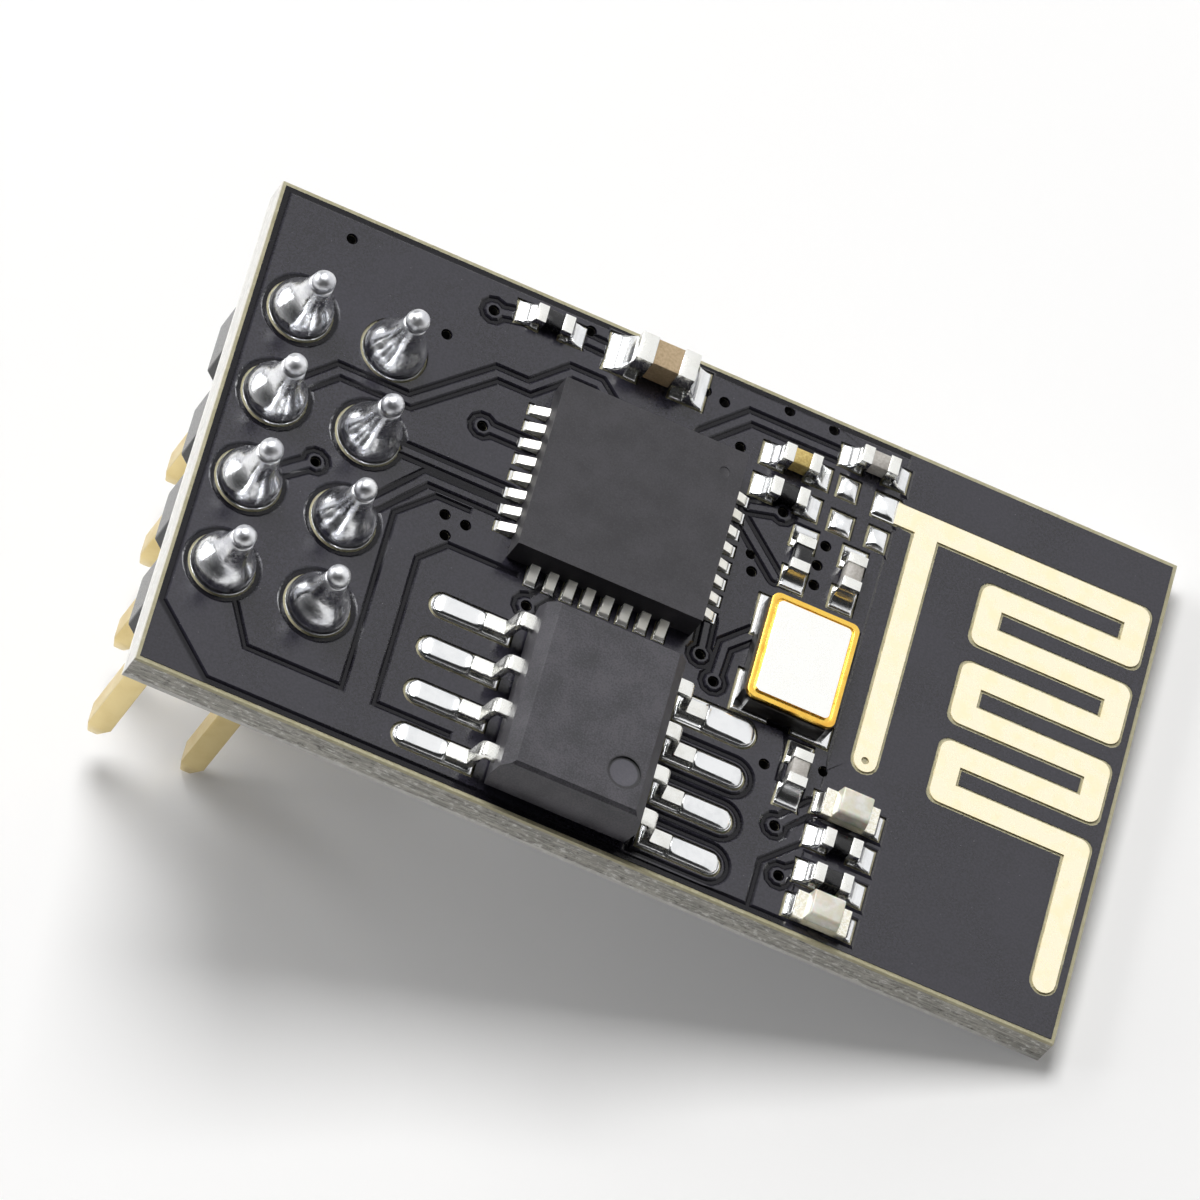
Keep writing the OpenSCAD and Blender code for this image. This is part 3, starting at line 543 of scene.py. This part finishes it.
# ---------------------------------------------------------------- solder left on the empty pads
# the middle and the size of each pad that carries a drop
WET_PADS = [((15.95, 5.33), (0.50, 0.58)), ((16.0, 4.3), (0.58, 0.58)),
            ((17.0, 4.3), (0.50, 0.58)), ((16.98, 5.28), (0.62, 0.66))]
DROP_STEPS = 16


def drop(work, middle, size, lumps):
    """One low uneven drop of solder on a pad."""
    height = lumps.uniform(0.09, 0.13)
    lean = (lumps.uniform(-0.3, 0.3), lumps.uniform(-0.3, 0.3))
    phase = lumps.uniform(0, 6.28)
    shares = [2 * i / DROP_STEPS - 1 for i in range(DROP_STEPS + 1)]
    grid = []
    for u in shares:
        x = middle[0] + u * size[0] / 2
        line = []
        for v in shares:
            y = middle[1] + v * size[1] / 2
            bulge = math.sqrt(max(0.0, (1 - abs(u) ** 3) * (1 - abs(v) ** 3)))
            wave = 0.12 * math.sin(4 * u + phase) * math.cos(3 * v + phase)
            lump = 1 + lean[0] * u + lean[1] * v + wave
            line.append(work.verts.new(row(x, y, COPPER_TOP + height * bulge * lump)))
        grid.append(line)
    for near, far in zip(grid, grid[1:]):
        for j in range(DROP_STEPS):
            work.faces.new((near[j], far[j], far[j + 1], near[j + 1])).smooth = True


def wet_pads(lumps):
    """The pads, with the drop of solder that each empty one carries."""
    work = bmesh.new()
    work.from_mesh(NODES["solder_pads"].data)
    for middle, size in WET_PADS:
        drop(work, middle, size, lumps)
    mesh = to_mesh("solder_pads_wet", work)
    stand_in("solder_pads_wet", mesh, ["solder_pads"], look_of("solder_pads"))


wet_pads(random.Random(11))

# ---------------------------------------------------------------- solder domes on the pins
PIN_X = (1.36, 3.90)
PIN_ROWS = 4
PIN_PITCH = 2.54
TAIL = 2.0                           # height of a soldered tail above the board
NUB_R = 0.31
NECK_R = 0.30
LAND_R = 0.825
FOOT_R = LAND_R - 0.004              # just inside the pin's land
HOLE_R = 0.5
HOLE_DEPTH = 0.3                     # how far the dome's plug runs down into the hole
# from foot to neck: the share of the way out to the foot, and the share of the tail's height
TAIL_SLOPE = [(1, 0), (0.985, 0.04), (0.97, 0.08), (0.935, 0.12), (0.89, 0.16), (0.83, 0.20),
              (0.75, 0.24), (0.66, 0.28), (0.56, 0.32), (0.46, 0.365), (0.37, 0.41),
              (0.295, 0.465), (0.23, 0.52), (0.175, 0.575), (0.125, 0.63), (0.08, 0.685),
              (0.04, 0.74), (0.01, 0.79)]
NUB_ANGLES = range(-24, 90, 12)      # degrees above the nub's middle
DOME_TURNS = 56


def dome(index, shake):
    """One soldered tail as a turned form, with the leans and swellings of hand soldering."""
    x, y = PIN_X[index % 2], (index // 2 - (PIN_ROWS - 1) / 2) * PIN_PITCH
    rise = TAIL - COPPER_T
    neck = NECK_R * shake.uniform(0.94, 1.03)
    nub = NUB_R * shake.uniform(0.94, 1.0)
    lean = (shake.uniform(-0.05, 0.04), shake.uniform(-0.04, 0.04))
    lobes = [(shake.uniform(-0.015, 0.015), shake.uniform(0, 6.28)) for _ in range(2)]
    nub_z = COPPER_TOP + rise - NUB_R
    profile = [(HOLE_R * 0.9, COPPER_TOP - HOLE_DEPTH), (HOLE_R, COPPER_TOP), (FOOT_R, COPPER_TOP)]
    profile += [(neck + out * (FOOT_R - neck), COPPER_TOP + high * rise)
                for out, high in TAIL_SLOPE]
    profile += [(nub * math.cos(math.radians(a)), nub_z + nub * math.sin(math.radians(a)))
                for a in NUB_ANGLES]
    work = bmesh.new()
    rings = []
    for radius, z in profile:
        share = max(0.0, (z - COPPER_TOP) / rise)
        ring = []
        for k in range(DOME_TURNS):
            a = 2 * math.pi * k / DOME_TURNS
            uneven = sum(size * math.sin((n + 2) * a + phase)
                         for n, (size, phase) in enumerate(lobes))
            reach = radius * (1 + uneven * min(1, 6 * share))
            ring.append(work.verts.new(row(x + lean[0] * share ** 2 + reach * math.cos(a),
                                           y + lean[1] * share ** 2 + reach * math.sin(a), z)))
        rings.append(ring)
    tip = work.verts.new(row(x + lean[0], y + lean[1], nub_z + nub))
    for lower, upper in zip(rings, rings[1:]):
        for k in range(DOME_TURNS):
            after = (k + 1) % DOME_TURNS
            work.faces.new((lower[k], lower[after], upper[after], upper[k]))
    for k in range(DOME_TURNS):
        work.faces.new((rings[-1][k], rings[-1][(k + 1) % DOME_TURNS], tip))
    work.faces.new(list(reversed(rings[0])))
    for f in work.faces:
        f.smooth = True
    node = f"pin_solder_{index + 1}"
    stand_in(node + "_dome", to_mesh("dome", work), [node], "tail_solder")


shake = random.Random(7)
for index in range(len(PIN_X) * PIN_ROWS):
    dome(index, shake)

# ---------------------------------------------------------------- floor, light and camera
# from here on, lengths are metres in the row frame, apart from the camera's
FLOOR_HALF = 3.0
FLOOR_DROP = 0.00002                 # keeps the floor clear of what rests on it
WALL_WAY = math.radians(46)          # the azimuth that the board's flat metal mirrors
WALL_AWAY = 1.3
WALL_HALF = 1.7
WALL_HIGH = 3.4
LAMP_AIM = (0, 0, 0.006)
DARK_WAY = Vector((0, -0.5, 0.86))   # toward the photographer, where the room is dark
DARK_SPAN = (0.20, 0.85)             # cosines to that way between which the room darkens
WORLD_SPAN = (0.34, 0.02)            # the world's strength at those two
CAMERA_AZIMUTH = math.radians(-75.5)
CAMERA_ELEVATION = math.radians(57.4)
CAMERA_ROLL = math.radians(-1.0)
CAMERA_LENS = 366.0
CAMERA_AWAY = 300                    # millimetres from its aim
AIM = Vector((-0.44, -0.03, 5.55))   # millimetres


def stage_material(name, colour, glow):
    """A pale surface that the camera sees as near white, with the object's shadow kept."""
    m = Maker(name)
    path = m.node("ShaderNodeLightPath").outputs
    seen = m.math("MAXIMUM", path["Is Camera Ray"], path["Is Glossy Ray"])
    seen = m.math("MAXIMUM", seen, path["Is Transmission Ray"])
    base = m.node("ShaderNodeBsdfDiffuse", {"Color": colour})
    lit = m.node("ShaderNodeEmission", {"Color": (1, 1, 1, 1), "Strength": m.times(seen, glow)})
    both = m.node("ShaderNodeAddShader", {0: base.outputs[0], 1: lit.outputs[0]})
    m.set(m.out.inputs[0], both.outputs[0])
    return m.material


def stage_sheet(name, corners, material):
    """A flat piece of the staging."""
    mesh = bpy.data.meshes.new(name)
    mesh.from_pydata(corners, [], [(0, 1, 2, 3)])
    mesh.materials.append(material)
    piece = bpy.data.objects.new(name, mesh)
    bpy.context.scene.collection.objects.link(piece)


def floor():
    corners = [(x * FLOOR_HALF, y * FLOOR_HALF, -FLOOR_DROP)
               for x, y in ((-1, -1), (1, -1), (1, 1), (-1, 1))]
    stage_sheet("floor", corners, stage_material("floor", (0.87, 0.865, 0.86, 1), 0.14))


def backdrop():
    """A white wall far behind and to the right, which the board's flat metal mirrors."""
    away = Vector((math.cos(WALL_WAY), math.sin(WALL_WAY), 0)) * WALL_AWAY
    side = Vector((-math.sin(WALL_WAY), math.cos(WALL_WAY), 0)) * WALL_HALF
    up = Vector((0, 0, WALL_HIGH))
    stage_sheet("backdrop", [away + side, away - side, away - side + up, away + side + up],
                stage_material("backdrop", (0.30, 0.30, 0.30, 1), 0.95))


def softbox(name, place, width, height, power):
    """A flat lamp that faces the module, with its power in watts."""
    data = bpy.data.lights.new(name, "AREA")
    data.shape = "RECTANGLE"
    data.size = width
    data.size_y = height
    data.energy = power
    lamp = bpy.data.objects.new(name, data)
    bpy.context.scene.collection.objects.link(lamp)
    lamp.location = Vector(place)
    lamp.rotation_mode = "QUATERNION"
    lamp.rotation_quaternion = (Vector(LAMP_AIM) - Vector(place)).to_track_quat("-Z", "Y")


def world():
    """A soft white room that is darker toward the photographer."""
    made = bpy.data.worlds.new("studio")
    bpy.context.scene.world = made
    made.use_nodes = True
    tree = made.node_tree
    tree.nodes.clear()
    out = tree.nodes.new("ShaderNodeOutputWorld")
    background = tree.nodes.new("ShaderNodeBackground")
    coords = tree.nodes.new("ShaderNodeTexCoord")
    facing = tree.nodes.new("ShaderNodeVectorMath")
    facing.operation = "DOT_PRODUCT"
    facing.inputs[1].default_value = DARK_WAY.normalized()
    tree.links.new(coords.outputs["Generated"], facing.inputs[0])
    shade = tree.nodes.new("ShaderNodeMapRange")
    shade.interpolation_type = "SMOOTHSTEP"
    shade.inputs["From Min"].default_value, shade.inputs["From Max"].default_value = DARK_SPAN
    shade.inputs["To Min"].default_value, shade.inputs["To Max"].default_value = WORLD_SPAN
    tree.links.new(facing.outputs["Value"], shade.inputs["Value"])
    tree.links.new(shade.outputs[0], background.inputs["Strength"])
    background.inputs["Color"].default_value = (1, 1, 1, 1)
    tree.links.new(background.outputs[0], out.inputs[0])


def camera():
    """A long lens that looks down on the component side at the photo's angle."""
    flat = math.cos(CAMERA_ELEVATION)
    back = Vector((flat * math.cos(CAMERA_AZIMUTH), flat * math.sin(CAMERA_AZIMUTH),
                   math.sin(CAMERA_ELEVATION)))
    level = Vector((0, 0, 1)).cross(back).normalized()
    upright = back.cross(level)
    right = level * math.cos(CAMERA_ROLL) + upright * math.sin(CAMERA_ROLL)
    up = upright * math.cos(CAMERA_ROLL) - level * math.sin(CAMERA_ROLL)
    place = AIM * MM + back * (CAMERA_AWAY * MM)
    data = bpy.data.cameras.new("camera")
    data.sensor_width = 36
    data.lens = CAMERA_LENS
    data.clip_start = 0.01
    data.clip_end = 20
    made = bpy.data.objects.new("camera", data)
    bpy.context.scene.collection.objects.link(made)
    made.matrix_world = Matrix(((right.x, up.x, back.x, place.x),
                                (right.y, up.y, back.y, place.y),
                                (right.z, up.z, back.z, place.z), (0, 0, 0, 1)))
    bpy.context.scene.camera = made


floor()
backdrop()
world()
softbox("key", (-0.05, 0.26, 0.60), 0.32, 0.32, 3.4)
softbox("left", (-0.41, 0.11, 0.20), 0.40, 0.26, 1.1)
camera()
bpy.context.scene.view_settings.view_transform = "Standard"
